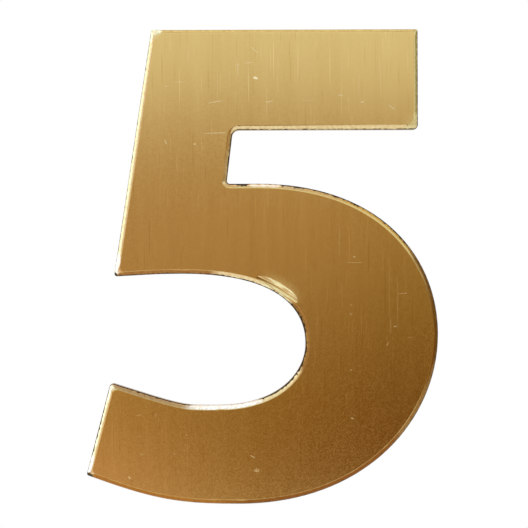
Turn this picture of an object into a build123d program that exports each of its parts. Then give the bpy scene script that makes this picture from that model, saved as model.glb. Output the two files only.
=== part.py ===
from build123d import *
import os
from dataclasses import dataclass
from math import cos, radians, sin, tan

# A brass house number: the numeral 5, one flat plate with its front edge rolled over all round.
# Millimetres. X runs across the face, Z up, and the face looks along -Y. The origin is on the flat back,
# at the middle of the plate's height and width.

# Plate. The width is taken to the terminal's sharp corner, before that corner is rounded.
HEIGHT = 76.0
WIDTH = 56.4
THICKNESS = 2.0

# Rolled front edge: how far it reaches in over the face, how far it falls towards the wall, and the turns
# in degrees, from the wall at 0 up to the face at 90, at which its quarter ellipse is laid down
RIM_WIDTH = 0.75
RIM_DROP = 0.6
ROLL_TURNS = (0, 36, 68, 90)

# Top bar
BAR_LENGTH = 42.7
BAR_DEPTH = 16.1

# Stem, which leans to the right as it rises
STEM_SETBACK = 4.5
STEM_WIDTH = 15.5
STEM_LEAN = 8.75
STEM_INNER_LEAN = 6.9
STEM_FOOT_DROP = 0.4
STEM_FOOT_SLOPE = 2.5
NOTCH_HEIGHT = 8.6

# Bowl: the level shoulder, the widest point, the lowest point and the blunt terminal at the lower left
SHOULDER_LENGTH = 4.95
SHOULDER_STROKE = 14.4
BOWL_DROP = 24.15
BOWL_STROKE = 21.25
BASE_OFFSET = 24.6
BASE_STROKE = 15.8
TERMINAL_RISE = 4.7
TERMINAL_LENGTH = 15.3
TERMINAL_LEAN = 14.7
TERMINAL_BASE_SLOPE = 20.4
TERMINAL_TOP_SLOPE = 17.7

# Counter, the open space inside the bowl: its lowest and highest points from the left, and how far its
# rightmost point lies under the bowl's widest
COUNTER_LOW = 21.2
COUNTER_HIGH = 15.3
COUNTER_DROP = 1.45

# Fullness of each curve: the reach of its handles at the start and end, as shares of its chord
BOWL_UPPER_FULLNESS = (0.513, 0.339)
BOWL_LOWER_FULLNESS = (0.322, 0.491)
BASE_FULLNESS = (0.4, 0.448)
TERMINAL_TOP_FULLNESS = (0.718, 0.333)
COUNTER_LOWER_FULLNESS = (0.549, 0.285)
COUNTER_UPPER_FULLNESS = (0.132, 0.821)
STEM_FOOT_FULLNESS = (0.437, 0.425)

# Corner radii: at the wall, then where the rolled edge meets the face
TOP_LEFT_RADII = (0.25, 2.2)
TOP_RIGHT_RADII = (0.3, 0.8)
BAR_END_RADII = (0.8, 1.3)
TERMINAL_BASE_RADII = (0.35, 0.6)
TERMINAL_TOP_RADII = (0.65, 0.9)
STEM_FOOT_RADII = (0.4, 0.7)
NOTCH_TOP_RADIUS = 1.1
NOTCH_FOOT_RADIUS = 0.5

# Worn hollow on the counter's upper right, as the round rim of a small wheel held at a slant leaves it: the
# wheel's radius out to the middle of its rim, the rim's own radius, the slant in degrees from the face, how
# deep the rim bit, how far from the wall, and where along the curve
WHEEL_RADIUS = 17.5
WHEEL_RIM_RADIUS = 1.7
WHEEL_SLANT = 34
HOLLOW_DEPTH = 0.23
HOLLOW_INSET = 0.9
HOLLOW_PLACE = 0.39

# Heights of the outline's key points
top = HEIGHT / 2
bar_underside = top - BAR_DEPTH
shoulder = bar_underside - NOTCH_HEIGHT
bowl_widest = shoulder - BOWL_DROP
base = -HEIGHT / 2
terminal_base = base + TERMINAL_RISE
terminal_top = terminal_base + TERMINAL_LENGTH * cos(radians(TERMINAL_LEAN))
counter_top = shoulder - SHOULDER_STROKE
counter_widest = bowl_widest - COUNTER_DROP
counter_base = base + BASE_STROKE
stem_foot = counter_top - STEM_FOOT_DROP

# Places of those points across the plate
left = -WIDTH / 2
right = WIDTH / 2
stem_foot_left = left + STEM_SETBACK
stem_rise = tan(radians(STEM_LEAN))
top_left = stem_foot_left + (top - stem_foot) * stem_rise
bar_right = top_left + BAR_LENGTH
notch_top_left = stem_foot_left + (bar_underside - stem_foot) * stem_rise + STEM_WIDTH
notch_foot_left = notch_top_left - NOTCH_HEIGHT * tan(radians(STEM_INNER_LEAN))
shoulder_end = notch_foot_left + SHOULDER_LENGTH
terminal_top_left = left + TERMINAL_LENGTH * sin(radians(TERMINAL_LEAN))
counter_right = right - BOWL_STROKE

RIGHT, DOWN, LEFT, UP = 0, -90, 180, 90


@dataclass
class Station:
    """A corner or a smooth joint on the outline, walked clockwise as seen from the front.

    Headings are degrees anticlockwise from +X. Fullness belongs to the curve that leaves the station;
    a straight run has none. A smooth joint has no radii.
    """

    x: float
    z: float
    arriving: float
    leaving: float
    radii: tuple = (0, 0)
    fullness: tuple | None = None


def inside_corner(radius):
    """Radii of a corner that bends round the open side: the rolled edge only moves out from it."""
    return radius, radius + RIM_WIDTH


outline = [
    Station(top_left, top, UP - STEM_LEAN, RIGHT, TOP_LEFT_RADII),
    Station(bar_right, top, RIGHT, DOWN, TOP_RIGHT_RADII),
    Station(bar_right, bar_underside, DOWN, LEFT, BAR_END_RADII),
    Station(notch_top_left, bar_underside, LEFT, DOWN - STEM_INNER_LEAN, inside_corner(NOTCH_TOP_RADIUS)),
    Station(notch_foot_left, shoulder, DOWN - STEM_INNER_LEAN, RIGHT, inside_corner(NOTCH_FOOT_RADIUS)),
    Station(shoulder_end, shoulder, RIGHT, RIGHT, fullness=BOWL_UPPER_FULLNESS),
    Station(right, bowl_widest, DOWN, DOWN, fullness=BOWL_LOWER_FULLNESS),
    Station(left + BASE_OFFSET, base, LEFT, LEFT, fullness=BASE_FULLNESS),
    Station(left, terminal_base, LEFT - TERMINAL_BASE_SLOPE, UP - TERMINAL_LEAN, TERMINAL_BASE_RADII),
    Station(
        terminal_top_left, terminal_top, UP - TERMINAL_LEAN, RIGHT - TERMINAL_TOP_SLOPE,
        TERMINAL_TOP_RADII, TERMINAL_TOP_FULLNESS,
    ),
    Station(left + COUNTER_LOW, counter_base, RIGHT, RIGHT, fullness=COUNTER_LOWER_FULLNESS),
    Station(counter_right, counter_widest, UP, UP, fullness=COUNTER_UPPER_FULLNESS),
    Station(left + COUNTER_HIGH, counter_top, LEFT, LEFT, fullness=STEM_FOOT_FULLNESS),
    Station(stem_foot_left, stem_foot, LEFT + STEM_FOOT_SLOPE, UP - STEM_LEAN, STEM_FOOT_RADII),
]


def heading(angle):
    """Unit step across the face."""
    return Vector(cos(radians(angle)), 0, sin(radians(angle)))


def inward(angle):
    """Unit step from the edge into the metal, on the right hand of the walk."""
    return heading(angle - 90)


def curve(start, leaving, end, arriving, fullness):
    """Bezier curve whose handles lie along its two headings."""
    chord = (end - start).length
    return Bezier(
        start,
        start + heading(leaving) * (fullness[0] * chord),
        end - heading(arriving) * (fullness[1] * chord),
        end,
    )


def section(inset, depth):
    """The numeral as a flat face at a depth behind the front, drawn in from the wall by the inset."""
    share = min(inset / RIM_WIDTH, 1)
    y = depth - THICKNESS
    corners = []
    for station in outline:
        mitre = inward(station.arriving) + inward(station.leaving)
        reach = inset / (1 + inward(station.arriving).dot(inward(station.leaving)))
        sharp = Vector(station.x, y, station.z) + mitre * reach
        turn = (station.leaving - station.arriving + 180) % 360 - 180
        radius = station.radii[0] + (station.radii[1] - station.radii[0]) * share
        trim = radius * tan(radians(abs(turn) / 2))
        arc_start = sharp - heading(station.arriving) * trim
        arc_end = sharp + heading(station.leaving) * trim
        corners.append((arc_start, arc_end, trim))

    edges = []
    for number, station in enumerate(outline):
        arc_start, arc_end, trim = corners[number]
        if trim > 0:
            edges.append(TangentArc(arc_start, arc_end, tangent=heading(station.arriving)))
        following = (number + 1) % len(outline)
        run_end = corners[following][0]
        arriving = outline[following].arriving
        if station.fullness is None:
            edges.append(Line(arc_end, run_end))
        else:
            edges.append(curve(arc_end, station.leaving, run_end, arriving, station.fullness))
    return make_face(edges)


def rolled_edge():
    """The front of the plate: sections that follow a quarter ellipse from the wall up to the face."""
    slices = []
    for turn in ROLL_TURNS:
        inset = RIM_WIDTH * (1 - cos(radians(turn)))
        depth = RIM_DROP * (1 - sin(radians(turn)))
        slices.append(section(inset, depth))
    return loft(slices)


def plate():
    """The whole thickness: a straight wall from the flat back, then the rolled front edge."""
    wall = extrude(section(0, THICKNESS), amount=THICKNESS - RIM_DROP, dir=(0, -1, 0))
    return wall + rolled_edge()


def worn_hollow():
    """The wheel that left the hollow: a ring that slants down into the plate beside the counter."""
    y = -THICKNESS
    counter_curve = curve(
        Vector(counter_right, y, counter_widest), UP, Vector(left + COUNTER_HIGH, y, counter_top), LEFT,
        COUNTER_UPPER_FULLNESS,
    )
    along = counter_curve % HOLLOW_PLACE
    into_metal = along.cross(Vector(0, -1, 0)).normalized()
    bite = counter_curve @ HOLLOW_PLACE + into_metal * HOLLOW_INSET
    rim = bite - Vector(0, WHEEL_RIM_RADIUS - HOLLOW_DEPTH, 0)
    to_rim = into_metal * cos(radians(WHEEL_SLANT)) + Vector(0, sin(radians(WHEEL_SLANT)), 0)
    hub = rim - to_rim * WHEEL_RADIUS
    return Plane(hub, x_dir=to_rim, z_dir=to_rim.cross(along)) * Torus(WHEEL_RADIUS, WHEEL_RIM_RADIUS)


number_five = plate() - worn_hollow()
os.makedirs("parts", exist_ok=True)
export_step(number_five, "parts/number_five.step")
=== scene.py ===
from math import cos, radians, sin

import bmesh
import bpy
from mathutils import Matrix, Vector


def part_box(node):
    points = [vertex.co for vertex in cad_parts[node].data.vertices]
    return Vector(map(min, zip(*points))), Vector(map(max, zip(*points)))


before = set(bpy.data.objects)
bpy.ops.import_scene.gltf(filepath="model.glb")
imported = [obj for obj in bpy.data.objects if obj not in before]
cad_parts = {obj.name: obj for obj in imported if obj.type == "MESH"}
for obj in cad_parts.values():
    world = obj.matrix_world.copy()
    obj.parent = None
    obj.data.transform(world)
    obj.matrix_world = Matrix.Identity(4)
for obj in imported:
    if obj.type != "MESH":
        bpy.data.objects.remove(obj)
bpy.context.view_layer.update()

# The numeral
# One flat plate of brass, its face brushed up and down and clear-lacquered, its front edge rolled over and
# polished. It was cut, edged and then brushed, so the brush lines stop where the rolled edge begins. The
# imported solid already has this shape, so it stays as it is and gets the finish.

MM = 0.001
THROUGH = 1e6
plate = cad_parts["number_five"]


def linear(hex_colour):
    """A written sRGB colour as the shader's linear one."""
    channels = [int(hex_colour[i : i + 2], 16) / 255 for i in (1, 3, 5)]
    return tuple(c / 12.92 if c <= 0.04045 else ((c + 0.055) / 1.055) ** 2.4 for c in channels) + (1.0,)


def add(tree, kind, inputs=(), **settings):
    """Adds a node with its settings. Its inputs are given in order or by name: values, nodes or sockets."""
    node = tree.nodes.new("ShaderNode" + kind)
    for setting, value in settings.items():
        setattr(node, setting, value)
    sockets = [socket for socket in node.inputs if socket.enabled]
    pairs = inputs.items() if isinstance(inputs, dict) else enumerate(inputs)
    for key, value in pairs:
        socket = sockets[key] if isinstance(key, int) else node.inputs[key]
        if isinstance(value, bpy.types.Node):
            value = next(output for output in value.outputs if output.enabled)
        if isinstance(value, bpy.types.NodeSocket):
            tree.links.new(value, socket)
        else:
            socket.default_value = value
    return node


def oval(tree, point, middle, half, turn=0.0):
    """How near a point is to the middle of an oval place: 1 there, falling evenly to 0 at its border.

    Its middle and half size are given across and up, in the point's own unit, and its turn in degrees. It
    reaches through the whole depth.
    """
    laid = add(
        tree, "Mapping",
        {
            "Vector": point, "Location": (middle[0], 0, middle[1]), "Rotation": (0, radians(-turn), 0),
            "Scale": (half[0], THROUGH, half[1]),
        },
        vector_type="TEXTURE",
    )
    return add(tree, "TexGradient", [laid], gradient_type="SPHERICAL").outputs["Fac"]


# Lacquered brass, brushed up and down with a fine belt: a mirror that is sharp up and down and smeared
# sideways, with hairlines a few millimetres long and small knocks that show white. Places are read in
# millimetres, and facing is 1 on the face, 0 on the cut wall and -1 on the back.
brass = bpy.data.materials.new("brushed_lacquered_brass")
brass.use_nodes = True
tree = brass.node_tree
tree.nodes.clear()
coordinates = add(tree, "TexCoord")
place = add(tree, "Mapping", {"Vector": coordinates.outputs["Object"], "Scale": (1 / MM,) * 3})
axes = add(tree, "SeparateXYZ", [place])
across, up = axes.outputs["X"], axes.outputs["Z"]
normal = add(tree, "SeparateXYZ", [coordinates.outputs["Normal"]])
facing = add(tree, "Math", [normal.outputs["Y"], -1.0], operation="MULTIPLY")

# Brush lines. The belt leaves a faint grain all over, soft bands where it pressed harder, and single deeper
# hairlines that by chance show lighter or darker. They come in two sets. Each has how far apart they lie
# across and up the plate, the half width and half length of a line as a share of that, and how strongly it
# shows. So a line is up to 0.18 mm wide and 7.6 mm long in the first, 0.16 mm and 4.5 mm in the second.
# The face's colour follows these tones from FACE_DARK to FACE_LIGHT, so it is partly random tone of the
# brushing and partly painted shade and painted glint along the grooves.
FACE_DARK = "#CAA158"
FACE_LIGHT = "#E8C682"
TONE_SPAN = (0.8, 1.2)
NOISE_SPAN = (0.3, 0.7)
GRAIN_SIZE = 0.3
GRAIN_TONE = 0.03
BAND_WIDTH = 2.5
BAND_LENGTH = 90.0
BAND_TONE = 0.035
LINE_SETS = ((1.0, 42.0, 0.09, 0.17), (0.5, 14.0, 0.16, 0.14))

grain = add(tree, "TexNoise", {"Vector": place, "Scale": 1 / GRAIN_SIZE, "Detail": 1.0})
tone = add(tree, "MapRange", [grain, *NOISE_SPAN, 1 - GRAIN_TONE, 1 + GRAIN_TONE])
band = add(tree, "Mapping", {"Vector": place, "Scale": (1 / BAND_WIDTH, 1.0, 1 / BAND_LENGTH)})
band = add(tree, "TexNoise", {"Vector": band, "Scale": 1.0, "Detail": 2.0})
band = add(tree, "MapRange", [band, *NOISE_SPAN, -BAND_TONE, BAND_TONE])
tone = add(tree, "Math", [tone, band], operation="ADD")
for apart, run, share, strength in LINE_SETS:
    column = add(tree, "Math", [across, 1 / apart], operation="MULTIPLY")
    row = add(tree, "Math", [up, 1 / run], operation="MULTIPLY")
    cells = add(
        tree, "TexVoronoi", {"Vector": add(tree, "CombineXYZ", [column, row]), "Scale": 1.0},
        voronoi_dimensions="2D",
    )
    line = add(
        tree, "MapRange", [cells.outputs["Distance"], share, share * 0.5, 0.0, 1.0],
        interpolation_type="SMOOTHSTEP",
    )
    pick = add(tree, "SeparateXYZ", [cells.outputs["Color"]])
    lightness = add(tree, "MapRange", [pick.outputs["X"], 0.0, 1.0, -strength, strength])
    tone = add(tree, "Math", [line, lightness, tone], operation="MULTIPLY_ADD")
grooves = tone

# Scratches and knocks from handling, each laid where the real plate has it. Each has its middle across and
# up the plate, its length and width, all in millimetres, its turn in degrees, and how far it is lighter or,
# below nought, darker than the face. It comes up to full strength over the outer 0.45 of its half width.
SCRATCH_COLOUR = "#FFF0C4"
MARK_BORDER = 0.45
DARK_MARK_TONE = 0.18
MARKS = (
    (-0.93, 30.2, 1.0, 0.5, -15, 1.0),
    (-3.74, 31.6, 3.4, 0.2, 90, 0.25),
    (-3.74, 32.3, 0.4, 0.35, 0, 0.4),
    (-1.08, 34.7, 1.9, 0.2, -41, 0.35),
    (-1.9, 32.65, 1.9, 0.2, 5, 0.3),
    (-11.7, 33.6, 3.9, 0.2, 90, 0.12),
    (-13.2, 29.6, 1.9, 0.2, -3, 0.25),
    (-15.2, 28.95, 0.7, 0.25, 0, 0.25),
    (-7.4, 26.4, 2.9, 0.22, 10, 0.35),
    (-7.0, 29.5, 6.5, 0.2, 90, 0.15),
    (-7.4, 21.4, 4.8, 0.25, 2, 0.3),
    (-2.1, 31.0, 8.0, 0.2, 90, 0.12),
    (-1.3, 29.2, 5.0, 0.2, 90, -0.4),
    (2.6, 30.7, 8.0, 0.2, 90, 0.12),
    (4.7, 31.5, 5.3, 0.25, 90, -0.5),
    (1.3, 26.4, 1.5, 0.22, 8, 0.4),
    (7.3, 26.6, 2.6, 0.15, -5, 0.2),
    (8.9, 34.0, 3.0, 0.2, 90, -0.5),
    (9.8, 27.2, 3.5, 0.2, 90, -0.5),
    (12.9, 31.6, 2.7, 0.2, 90, 0.15),
    (12.7, 27.4, 1.0, 0.3, -10, 0.3),
    (15.6, 29.4, 5.3, 0.2, 90, 0.15),
    (16.2, 26.3, 0.8, 0.3, 0, 0.4),
    (20.9, 25.4, 1.7, 0.3, -35, 0.3),
    (19.1, 29.7, 6.5, 0.22, 90, 0.15),
    (-15.35, 20.0, 1.2, 0.25, -60, 0.3),
    (-10.7, 19.65, 0.5, 0.35, 0, 0.4),
    (14.8, 0.6, 4.0, 0.18, 0, 0.25),
    (14.8, 1.55, 0.5, 0.35, 0, 0.4),
    (24.3, 1.3, 0.45, 0.35, 0, 0.35),
    (12.4, 4.0, 7.5, 0.2, 90, 0.12),
    (12.8, -5.0, 5.7, 0.2, 90, 0.1),
    (11.8, -4.9, 0.4, 0.3, 0, 0.2),
    (14.25, -6.15, 0.5, 0.3, 0, 0.22),
    (14.2, -7.6, 0.7, 0.25, -20, 0.25),
    (22.5, -4.35, 2.0, 0.22, 4, 0.28),
    (21.3, -9.6, 0.7, 0.25, 0, 0.4),
    (21.7, -6.1, 10.9, 0.3, 90, 0.12),
    (20.6, -9.6, 3.5, 0.25, 90, 0.15),
    (20.4, -3.7, 14.0, 0.25, 90, 0.1),
    (19.7, -3.5, 13.0, 0.3, 90, -0.4),
    (20.1, -12.4, 0.8, 0.4, 70, 0.25),
    (19.7, -12.1, 0.6, 0.3, 70, -0.8),
    (23.7, -11.4, 1.2, 0.25, 0, 0.15),
    (10.3, -15.1, 0.9, 0.3, -25, 0.15),
    (14.2, -16.6, 0.5, 0.3, 0, 0.3),
    (14.1, -19.2, 3.9, 0.2, 90, -0.5),
    (14.4, -24.3, 0.7, 0.3, -30, 0.4),
    (-1.55, -30.4, 1.2, 0.25, -30, 0.35),
    (-0.9, -32.6, 1.1, 0.7, 0, 0.3),
    (-19.8, -23.7, 0.9, 0.35, 15, 0.2),
    (-17.1, -23.7, 0.9, 0.3, 75, 0.2),
    (-17.5, -23.5, 0.8, 0.3, 80, -0.7),
    (-19.6, -27.1, 0.6, 0.35, -40, 0.15),
    (-19.2, -28.2, 0.9, 0.25, 0, -0.8),
    (-19.3, -30.0, 0.8, 0.3, 0, 0.15),
    (-14.6, -30.0, 0.8, 0.25, 5, -0.7),
    (-14.1, -29.9, 0.4, 0.3, 0, 0.3),
    (-12.1, -26.9, 0.8, 0.25, 45, 0.15),
    (-21.3, -33.7, 0.7, 0.4, -50, 0.35),
    (-20.8, -34.2, 0.7, 0.4, 0, -1.0),
)
scratched = 0.0
for x, z, length, width, turn, lightness in MARKS:
    near = oval(tree, place, (x, z), (length / 2, width / 2), turn)
    mark = add(
        tree, "MapRange", [near, 0.0, MARK_BORDER, 0.0, abs(lightness)], interpolation_type="SMOOTHSTEP"
    )
    if lightness > 0:
        scratched = add(tree, "Math", [scratched, mark], operation="MAXIMUM")
    else:
        tone = add(tree, "Math", [mark, -DARK_MARK_TONE, tone], operation="MULTIPLY_ADD")

# The face colour is partly random tone of the brushing and partly painted shade and glint of the grooves.
paleness = add(tree, "MapRange", [tone, *TONE_SPAN, 0.0, 1.0])
face_colour = add(tree, "Mix", [paleness, linear(FACE_DARK), linear(FACE_LIGHT)], data_type="RGBA")
face_colour = add(tree, "Mix", [scratched, face_colour, linear(SCRATCH_COLOUR)], data_type="RGBA")

# The rolled edge is polished brass, coloured stretch by stretch with painted light and shade: its pale
# stretches are painted highlights, its dark ones painted shade and darker painted reflection, and a dark band
# of painted shade runs up the roll from the cut wall. Each stretch has its colour, how steep the roll is
# where the painted shade ends and where the face's finish begins (0 on the wall, 1 on the face), the middle
# of the stretch across and up the plate, its half width and half height in millimetres, and the way it faces.
# Where two overlap, the later one shows.
EDGE_COLOUR = "#E6CF9A"
EDGE_SHADE_REACH = 0.4
EDGE_INNER = 0.986
INNER_BORDER = 0.012
STRETCH_REACH = 1.2
STRETCH_BORDER = 0.33
TURNED_SPAN = (0.35, 0.75)
# Pale stretch colours are painted highlights on the roll, dark ones painted shade and darker painted
# reflection.
EDGE_LIGHT_AND_SHADE_STRETCHES = (
    ("#C6AD6C", 0.0, 0.95, (4, 38), (30, 1.6), (0, 1)),
    ("#E9DDB0", 0.45, 0.984, (-40, 0), (29, 60), (-1, 0)),
    ("#F0E6BC", 0.66, 0.984, (-26, -26), (3.5, 8), (-1, 0.3)),
    ("#A67640", 0.6, 0.985, (-16, -1), (9, 3), (0, -1)),
    ("#F0DAAC", 0.65, 0.984, (-1, -2), (6.5, 3.5), (0, -1)),
    ("#8F6A35", 0.78, 0.99, (7, -11), (3.6, 8), (-1, 0)),
    ("#FFFAF0", 0.2, 0.98, (-5.6, -22), (7, 4), (0, 1)),
    ("#E6D2A0", 0.78, 0.98, (3, -19), (4, 4), (-1, 1)),
    ("#B08E60", 0.62, 0.988, (-19, -20), (8, 6), (0, 1)),
    ("#AC7434", 0.3, 0.988, (-14, -38), (17, 12), (0, -1)),
    ("#8F5C2A", 0.55, 0.988, (12, -36), (17, 14), (0.4, -1)),
    ("#9A7440", 0.58, 0.985, (29, -13), (10, 19), (1, 0)),
    ("#CDA456", 0.72, 0.955, (18.5, 7.5), (8, 6.5), (0.7, 0.7)),
    ("#CDA76C", 0.7, 0.975, (5, 13.2), (15, 3.2), (0, 1)),
    ("#FFEAC4", 0.62, 0.985, (-4.5, 17.5), (1.8, 5), (1, 0)),
    ("#F0D2A0", 0.74, 0.985, (-4.7, 20.6), (1.5, 2.0), (1, -0.3)),
    ("#F2DCC0", 0.45, 0.975, (0.6, 13.2), (2.6, 0.9), (0, 1)),
    ("#C8A878", 0.86, 0.975, (-3.3, 13.3), (1.3, 0.9), (0, 1)),
    ("#C8A878", 0.82, 0.975, (5.3, 12.9), (2.2, 0.9), (0, 1)),
    ("#ECD6A2", 0.5, 0.99, (9, 21.9), (17, 1.5), (0, -1)),
    ("#E4DA9E", 0.58, 0.97, (25.5, 30), (2, 10), (1, 0)),
    ("#F2EAC0", 0.68, 0.99, (24.9, 22.5), (1.8, 1.8), (1, -1)),
    ("#F4EEC8", 0.4, 0.99, (-17.6, 37.4), (1.7, 1.4), (-1, 1)),
    ("#FFF8E6", 0.4, 0.99, (-23.6, 0.2), (1.2, 2.4), (-1, 0)),
    ("#5A5038", 0.8, 0.97, (-23.8, -1.4), (0.7, 0.7), (-1, -1)),
    ("#F8F0D0", 0.6, 0.985, (-24.0, -20.2), (1.3, 1.9), (-1, 0.3)),
    ("#FFF8E6", 0.4, 0.99, (-27.4, -32.0), (1.2, 1.8), (-1, 0)),
    ("#5A5038", 0.8, 0.97, (-27.8, -33.4), (0.6, 0.6), (-1, -1)),
    ("#FFF6CA", 0.6, 0.992, (3.2, -3.4), (3.4, 2.4), (-1, -1)),
)
outward = add(tree, "VectorMath", [coordinates.outputs["Normal"], (1, 0, 1)], operation="MULTIPLY")
outward = add(tree, "VectorMath", [outward], operation="NORMALIZE")
edge_colour = linear(EDGE_COLOUR)
edge_shade_reach, inner = EDGE_SHADE_REACH, EDGE_INNER
for painted_edge_colour, shade_reach, finished, middle, half, faces in EDGE_LIGHT_AND_SHADE_STRETCHES:
    near = oval(tree, place, middle, [size * STRETCH_REACH for size in half])
    near = add(tree, "MapRange", [near, 0.0, STRETCH_BORDER, 0.0, 1.0], interpolation_type="SMOOTHSTEP")
    aim = Vector((faces[0], 0, faces[1])).normalized()
    turned = add(tree, "VectorMath", [outward, aim], operation="DOT_PRODUCT").outputs["Value"]
    there = add(tree, "MapRange", [turned, *TURNED_SPAN, 0.0, near], interpolation_type="SMOOTHSTEP")
    edge_colour = add(tree, "Mix", [there, edge_colour, linear(painted_edge_colour)], data_type="RGBA")
    edge_shade_reach = add(tree, "Mix", [there, edge_shade_reach, shade_reach], data_type="FLOAT")
    inner = add(tree, "Mix", [there, inner, finished], data_type="FLOAT")
over_inner = add(tree, "Math", [facing, inner], operation="SUBTRACT")
flat = add(
    tree, "MapRange", [over_inner, -INNER_BORDER, INNER_BORDER, 0.0, 1.0], interpolation_type="SMOOTHSTEP"
)

# Along the left-hand edges a thin brown line of painted shade runs where the roll meets the face. Stains of
# half a millimetre or so speckle the whole roll.
LEFT_EDGE_SHADE_COLOUR = "#B07C44"
LEFT_EDGE_SHADE_TURN = (0.6, 0.9)
LEFT_EDGE_SHADE_STRENGTH = 0.6
LEFT_EDGE_SHADE_PLACE = (-0.03, -0.01)
STAIN_COLOUR = "#D8B48C"
STAIN_SIZE = 0.5
STAIN_SPAN = (0.4, 0.7)
STAIN_STRENGTH = 0.45

leftward = add(tree, "VectorMath", [outward, (-1, 0, 0)], operation="DOT_PRODUCT").outputs["Value"]
leftward = add(tree, "MapRange", [leftward, *LEFT_EDGE_SHADE_TURN, 0.0, LEFT_EDGE_SHADE_STRENGTH])
left_edge_shade = add(
    tree, "MapRange", [over_inner, *LEFT_EDGE_SHADE_PLACE, 0.0, leftward], interpolation_type="SMOOTHSTEP"
)
# Painted shade: a thin brown line along the left-hand edges.
edge_colour = add(tree, "Mix", [left_edge_shade, edge_colour, linear(LEFT_EDGE_SHADE_COLOUR)], data_type="RGBA")
speckle = add(tree, "TexNoise", {"Vector": place, "Scale": 1 / STAIN_SIZE, "Detail": 2.0})
stain = add(tree, "MapRange", [speckle, *STAIN_SPAN, 0.0, STAIN_STRENGTH])
edge_colour = add(
    tree, "Mix", [stain, edge_colour, linear(STAIN_COLOUR)], data_type="RGBA", blend_type="MULTIPLY"
)
colour = add(tree, "Mix", [flat, edge_colour, face_colour], data_type="RGBA")

# The worn hollow beside the counter is scored along its length by what wore it, and darker scores about a
# quarter of a millimetre wide break its painted highlight into lines. Places and sizes are in millimetres,
# the turn in degrees.
HOLLOW_MIDDLE = (3.2, -3.2)
HOLLOW_HALF = (5.5, 2.4)
HOLLOW_TURN = -35
HOLLOW_BORDER = 0.3
HOLLOW_FACING = (0.999, 0.985)
SCORE_COLOUR = "#B98748"
SCORE_LENGTH = 3.0
SCORE_WIDTH = 0.24
SCORE_SPAN = (0.46, 0.58)
SCORE_STRENGTH = 0.85

near = oval(tree, place, HOLLOW_MIDDLE, HOLLOW_HALF, HOLLOW_TURN)
near = add(
    tree, "MapRange", [near, 0.0, HOLLOW_BORDER, 0.0, SCORE_STRENGTH], interpolation_type="SMOOTHSTEP"
)
hollowed = add(tree, "MapRange", [facing, *HOLLOW_FACING, 0.0, near], interpolation_type="SMOOTHSTEP")
along = add(
    tree, "Mapping",
    {
        "Vector": place, "Rotation": (0, radians(-HOLLOW_TURN), 0),
        "Scale": (SCORE_LENGTH, THROUGH, SCORE_WIDTH),
    },
    vector_type="TEXTURE",
)
scores = add(tree, "TexNoise", {"Vector": along, "Scale": 1.0, "Detail": 1.0})
scores = add(tree, "MapRange", [scores, *SCORE_SPAN, 0.0, hollowed], interpolation_type="SMOOTHSTEP")
colour = add(tree, "Mix", [scores, colour, linear(SCORE_COLOUR)], data_type="RGBA")

# A pale, dull patch, less metal than the brass, is a painted highlight in the bar's lower right corner and in
# the hollow, thinner where the plate is flat. Each place has its colour, its middle and half size in
# millimetres, its turn in degrees, and how much it covers.
HIGHLIGHT_PATCH_BORDER = 0.75
HIGHLIGHT_PATCH_FACING = (0.9998, 0.994)
HIGHLIGHT_PATCH_ON_FLAT = 0.25
PAINTED_HIGHLIGHT_PATCHES = (
    ("#DECC8C", (24.5, 22.9), (2.3, 2.3), 0, 0.8),
    ("#F4E6AA", (3.2, -3.3), (4.6, 1.9), -35, 0.75),
)

caught = add(tree, "MapRange", [facing, *HIGHLIGHT_PATCH_FACING, HIGHLIGHT_PATCH_ON_FLAT, 1.0])
unscored = add(tree, "Math", [1.0, scores], operation="SUBTRACT")
caught = add(tree, "Math", [caught, unscored], operation="MULTIPLY")
highlight_patch = 0.0
for highlight_colour, middle, half, turn, cover in PAINTED_HIGHLIGHT_PATCHES:
    near = oval(tree, place, middle, half, turn)
    highlight_share = add(tree, "MapRange", [near, 0.0, HIGHLIGHT_PATCH_BORDER, 0.0, cover], interpolation_type="SMOOTHSTEP")
    highlight_share = add(tree, "Math", [highlight_share, caught], operation="MULTIPLY")
    # Painted highlight: a pale, dull patch laid over the brass.
    colour = add(tree, "Mix", [highlight_share, colour, linear(highlight_colour)], data_type="RGBA")
    highlight_patch = add(tree, "Math", [highlight_patch, highlight_share], operation="MAXIMUM")
metal_share = add(tree, "Math", [1.0, highlight_patch], operation="SUBTRACT")

# The steep outer roll is darkened by a dark brown band of painted shade, ragged along its upper border. The
# cut wall below it is plain dull brass, and the back is clouded in patches of about a centimetre, where the
# brass was never polished.
EDGE_SHADE_COLOUR = "#3A2C1A"
EDGE_SHADE_RAGGED = 0.16
EDGE_SHADE_BORDER = 0.05
WALL_COLOUR = "#A8844A"
WALL_FACING = (0.14, 0.04)
BACK_DULL = "#B08C50"
BACK_CLEAN = "#BC985C"
BACK_FACING = (-0.6, -0.9)
CLOUD_SIZE = 9.0
CLOUD_SPAN = (0.35, 0.65)

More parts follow.
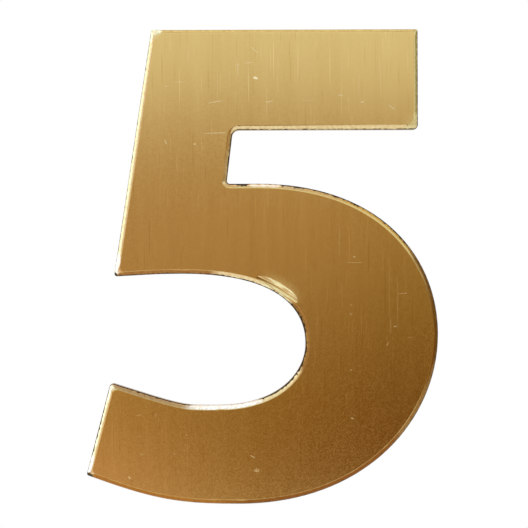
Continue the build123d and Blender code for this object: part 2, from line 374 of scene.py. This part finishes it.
ragged = add(tree, "MapRange", [speckle, *NOISE_SPAN, -EDGE_SHADE_RAGGED, EDGE_SHADE_RAGGED])
edge_shade_reach = add(tree, "Math", [edge_shade_reach, ragged], operation="ADD")
over_edge_shade = add(tree, "Math", [facing, edge_shade_reach], operation="SUBTRACT")
steep = add(
    tree, "MapRange", [over_edge_shade, EDGE_SHADE_BORDER, -EDGE_SHADE_BORDER, 0.0, 1.0],
    interpolation_type="SMOOTHSTEP",
)
side = add(tree, "MapRange", [facing, *WALL_FACING, 0.0, 1.0], interpolation_type="SMOOTHSTEP")
behind = add(tree, "MapRange", [facing, *BACK_FACING, 0.0, 1.0], interpolation_type="SMOOTHSTEP")
cloud = add(tree, "TexNoise", {"Vector": place, "Scale": 1 / CLOUD_SIZE, "Detail": 4.0})
cloud = add(tree, "MapRange", [cloud, *CLOUD_SPAN, 0.0, 1.0])
back_colour = add(tree, "Mix", [cloud, linear(BACK_DULL), linear(BACK_CLEAN)], data_type="RGBA")
# Painted shade: the steep outer roll darkens to a dark brown band.
colour = add(tree, "Mix", [steep, colour, linear(EDGE_SHADE_COLOUR)], data_type="RGBA")
colour = add(tree, "Mix", [side, colour, linear(WALL_COLOUR)], data_type="RGBA")
colour = add(tree, "Mix", [behind, colour, back_colour], data_type="RGBA")

# Sheen. The brushed face is nearly a mirror up and down, smeared sideways across its lines, and its grooves
# are less than two hundredths of a millimetre deep, a guess. The roll is smooth, and scratches, the band of
# painted edge shade and the wall are dull.
FACE_ROUGHNESS = (0.15, 0.19)
SCRATCH_ROUGHNESS = 0.5
EDGE_ROUGHNESS = 0.2
EDGE_SHADE_ROUGHNESS = 0.45
WALL_ROUGHNESS = 0.35
SIDEWAYS_SMEAR = 0.6
GROOVE_DEPTH = 0.02
GROOVE_STRENGTH = 0.1

rough = add(tree, "MapRange", [grain, *NOISE_SPAN, *FACE_ROUGHNESS])
rough = add(tree, "Mix", [scratched, rough, SCRATCH_ROUGHNESS], data_type="FLOAT")
rough = add(tree, "Mix", [flat, EDGE_ROUGHNESS, rough], data_type="FLOAT")
rough = add(tree, "Mix", [steep, rough, EDGE_SHADE_ROUGHNESS], data_type="FLOAT")
rough = add(tree, "Mix", [side, rough, WALL_ROUGHNESS], data_type="FLOAT")
relief = add(
    tree, "Bump", {"Strength": GROOVE_STRENGTH, "Distance": GROOVE_DEPTH * MM, "Height": grooves}
)
surface = add(
    tree, "BsdfPrincipled",
    {
        "Base Color": colour, "Metallic": metal_share, "Roughness": rough, "Anisotropic": SIDEWAYS_SMEAR,
        "Normal": relief, "Tangent": add(tree, "CombineXYZ", [1.0, 0.0, 0.0]),
    },
)
add(tree, "OutputMaterial", [surface])
plate.data.materials[0] = brass

# The studio
# A white room with a pale paper floor below the numeral. In front of it, behind the camera, hangs a glowing
# card, a graded light that the brass mirrors, bright above and warm below, as the lit wall of a room is. A
# tan card, dark beside the white room, stands off to the right.

FLOOR_DROP = 0.07
FLOOR_RADIUS = 0.45
FLOOR_COLOUR = "#FAFAF8"


def stage_sheet(name, corners):
    """A flat stage piece from its corners in metres, with an empty material, and that material's tree."""
    mesh = bpy.data.meshes.new(name)
    shape = bmesh.new()
    shape.faces.new([shape.verts.new(corner) for corner in corners])
    shape.to_mesh(mesh)
    shape.free()
    made = bpy.data.objects.new(name, mesh)
    bpy.context.scene.collection.objects.link(made)
    material = bpy.data.materials.new(name)
    material.use_nodes = True
    material.node_tree.nodes.clear()
    mesh.materials.append(material)
    return made, material.node_tree


floor_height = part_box("number_five")[0][2] - FLOOR_DROP
floor, tree = stage_sheet("paper_floor", [
    (FLOOR_RADIUS * cos(radians(turn)), FLOOR_RADIUS * sin(radians(turn)), floor_height)
    for turn in range(0, 360, 5)
])
add(tree, "OutputMaterial", [add(tree, "BsdfDiffuse", {"Color": linear(FLOOR_COLOUR)})])

# The graded card glows. The face mirrors only its middle, about 0.2 m across; the roll mirrors the rest. Its
# shades run into each other over bands, each with the way it runs and the places in metres where it begins
# and is full. Its glow is uneven: each patch has its middle and half size in metres, and how bright it is.
CARD_DISTANCE = 0.62
CARD_HALF = 0.6
CARD_GLOW = 1.25
LEFT_SHADE = "#B39C81"
RIGHT_SHADE = "#957E49"
TOP_SHADE = "#E7F4FF"
LOW_LEFT_SHADE = "#AC9348"
LOW_RIGHT_SHADE = "#653C06"
LOW_FAR_RIGHT_SHADE = "#A08048"
LOW_LEFT_CORNER_SHADE = "#DCB6B2"
FOOT_SHADE = "#C89A5A"
FAR_LEFT_SHADE = "#FFFFFF"
CARD_BANDS = (
    ("rightward", "X", -0.06, 0.12), ("low_rightward", "X", -0.12, 0.08), ("far_right", "X", 0.11, 0.24),
    ("leftward", "X", -0.01, -0.11), ("far_left", "X", -0.16, -0.30), ("high", "Z", 0.035, 0.115),
    ("low", "Z", 0.0, -0.09), ("lowest", "Z", -0.05, -0.13), ("foot", "Z", -0.32, -0.55),
)
CARD_PATCHES = (
    (0.028, 0.024, 0.075, 0.042, 1.24),
    (0.076, -0.040, 0.060, 0.070, 0.73),
    (0.028, -0.090, 0.080, 0.050, 1.17),
    (-0.019, 0.076, 0.045, 0.032, 0.83),
    (0.066, 0.084, 0.050, 0.055, 1.20),
    (-0.050, 0.098, 0.050, 0.030, 1.13),
    (-0.080, -0.100, 0.040, 0.035, 1.12),
    (-0.046, -0.076, 0.045, 0.032, 0.88),
)

card, tree = stage_sheet("graded_card", [
    (-CARD_HALF, -CARD_DISTANCE, -CARD_HALF), (-CARD_HALF, -CARD_DISTANCE, CARD_HALF),
    (CARD_HALF, -CARD_DISTANCE, CARD_HALF), (CARD_HALF, -CARD_DISTANCE, -CARD_HALF),
])
card_point = add(tree, "TexCoord").outputs["Object"]
card_place = add(tree, "SeparateXYZ", [card_point])
bands = {}
for name, way, begins, full in CARD_BANDS:
    bands[name] = add(
        tree, "MapRange", [card_place.outputs[way], begins, full, 0.0, 1.0], interpolation_type="SMOOTHSTEP"
    )
low_left_corner = add(tree, "Math", [bands["lowest"], bands["leftward"]], operation="MULTIPLY")
low_shade = linear(LOW_LEFT_SHADE)
for share, next_shade in (
    (bands["low_rightward"], LOW_RIGHT_SHADE), (bands["far_right"], LOW_FAR_RIGHT_SHADE),
):
    low_shade = add(tree, "Mix", [share, low_shade, linear(next_shade)], data_type="RGBA")
shade = linear(LEFT_SHADE)
for share, next_shade in (
    (bands["rightward"], linear(RIGHT_SHADE)), (bands["low"], low_shade), (bands["high"], linear(TOP_SHADE)),
    (low_left_corner, linear(LOW_LEFT_CORNER_SHADE)), (bands["foot"], linear(FOOT_SHADE)),
    (bands["far_left"], linear(FAR_LEFT_SHADE)),
):
    shade = add(tree, "Mix", [share, shade, next_shade], data_type="RGBA")
glow = CARD_GLOW
for x, z, half_width, half_height, brightness in CARD_PATCHES:
    near = oval(tree, card_point, (x, z), (half_width, half_height))
    patch = add(tree, "MapRange", [near, 0.0, 1.0, 1.0, brightness], interpolation_type="SMOOTHSTEP")
    glow = add(tree, "Math", [glow, patch], operation="MULTIPLY")
add(tree, "OutputMaterial", [add(tree, "Emission", {"Color": shade, "Strength": glow})])
card.visible_camera = False

# The tan card, upright beside the numeral, seen only in the roll of its right-hand edges
TAN_COLOUR = "#B4A684"
TAN_CARD_PLACE = 0.5
TAN_CARD_FRONT = -0.55
TAN_CARD_BACK = 0.2
TAN_CARD_HALF_HEIGHT = 0.4

tan_card, tree = stage_sheet("dark_card", [
    (TAN_CARD_PLACE, TAN_CARD_FRONT, -TAN_CARD_HALF_HEIGHT),
    (TAN_CARD_PLACE, TAN_CARD_FRONT, TAN_CARD_HALF_HEIGHT),
    (TAN_CARD_PLACE, TAN_CARD_BACK, TAN_CARD_HALF_HEIGHT),
    (TAN_CARD_PLACE, TAN_CARD_BACK, -TAN_CARD_HALF_HEIGHT),
])
add(tree, "OutputMaterial", [add(tree, "BsdfDiffuse", {"Color": linear(TAN_COLOUR)})])
tan_card.visible_camera = False

world = bpy.data.worlds.new("white_room")
bpy.context.scene.world = world
world.use_nodes = True
world.node_tree.nodes["Background"].inputs["Color"].default_value = linear("#FFFFFF")
world.node_tree.nodes["Background"].inputs["Strength"].default_value = 1.0

# Two weak lamps, to the left and above, aimed at the plate's middle. Each has its place and side in metres,
# and its power in watts.
LAMPS = (("left_lamp", (-0.45, -0.10, 0.05), 0.5, 0.6), ("top_lamp", (-0.05, -0.10, 0.45), 0.3, 0.15))

for name, lamp_place, side_length, watts in LAMPS:
    lamp = bpy.data.lights.new(name, "AREA")
    lamp.shape = "SQUARE"
    lamp.size = side_length
    lamp.energy = watts
    made = bpy.data.objects.new(name, lamp)
    made.location = lamp_place
    made.rotation_euler = (-Vector(lamp_place)).to_track_quat("-Z", "Y").to_euler()
    made.visible_camera = False
    bpy.context.scene.collection.objects.link(made)

# The camera
# Face on, a third of a millimetre to the right of the numeral's middle and a little above it, and turned a
# fifth of a degree, as the photograph was taken. The frame's 528 pixels span 84.5 mm at the face.

CAMERA_DISTANCE = 0.30
CAMERA_RIGHT = 0.34
CAMERA_ABOVE = 0.425
CAMERA_ROLL = 0.185
FRAME_AT_FACE = 84.48
SENSOR = 36.0
NEAREST, FARTHEST = 0.01, 10.0

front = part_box("number_five")[0][1]
camera_data = bpy.data.cameras.new("camera")
camera_data.sensor_width = SENSOR
camera_data.lens = SENSOR * CAMERA_DISTANCE / (FRAME_AT_FACE * MM)
camera_data.clip_start = NEAREST
camera_data.clip_end = FARTHEST
camera = bpy.data.objects.new("camera", camera_data)
camera.location = (CAMERA_RIGHT * MM, front - CAMERA_DISTANCE, CAMERA_ABOVE * MM)
camera.rotation_euler = (radians(90), radians(CAMERA_ROLL), 0)
bpy.context.scene.collection.objects.link(camera)
bpy.context.scene.camera = camera
bpy.context.scene.view_settings.view_transform = "Standard"
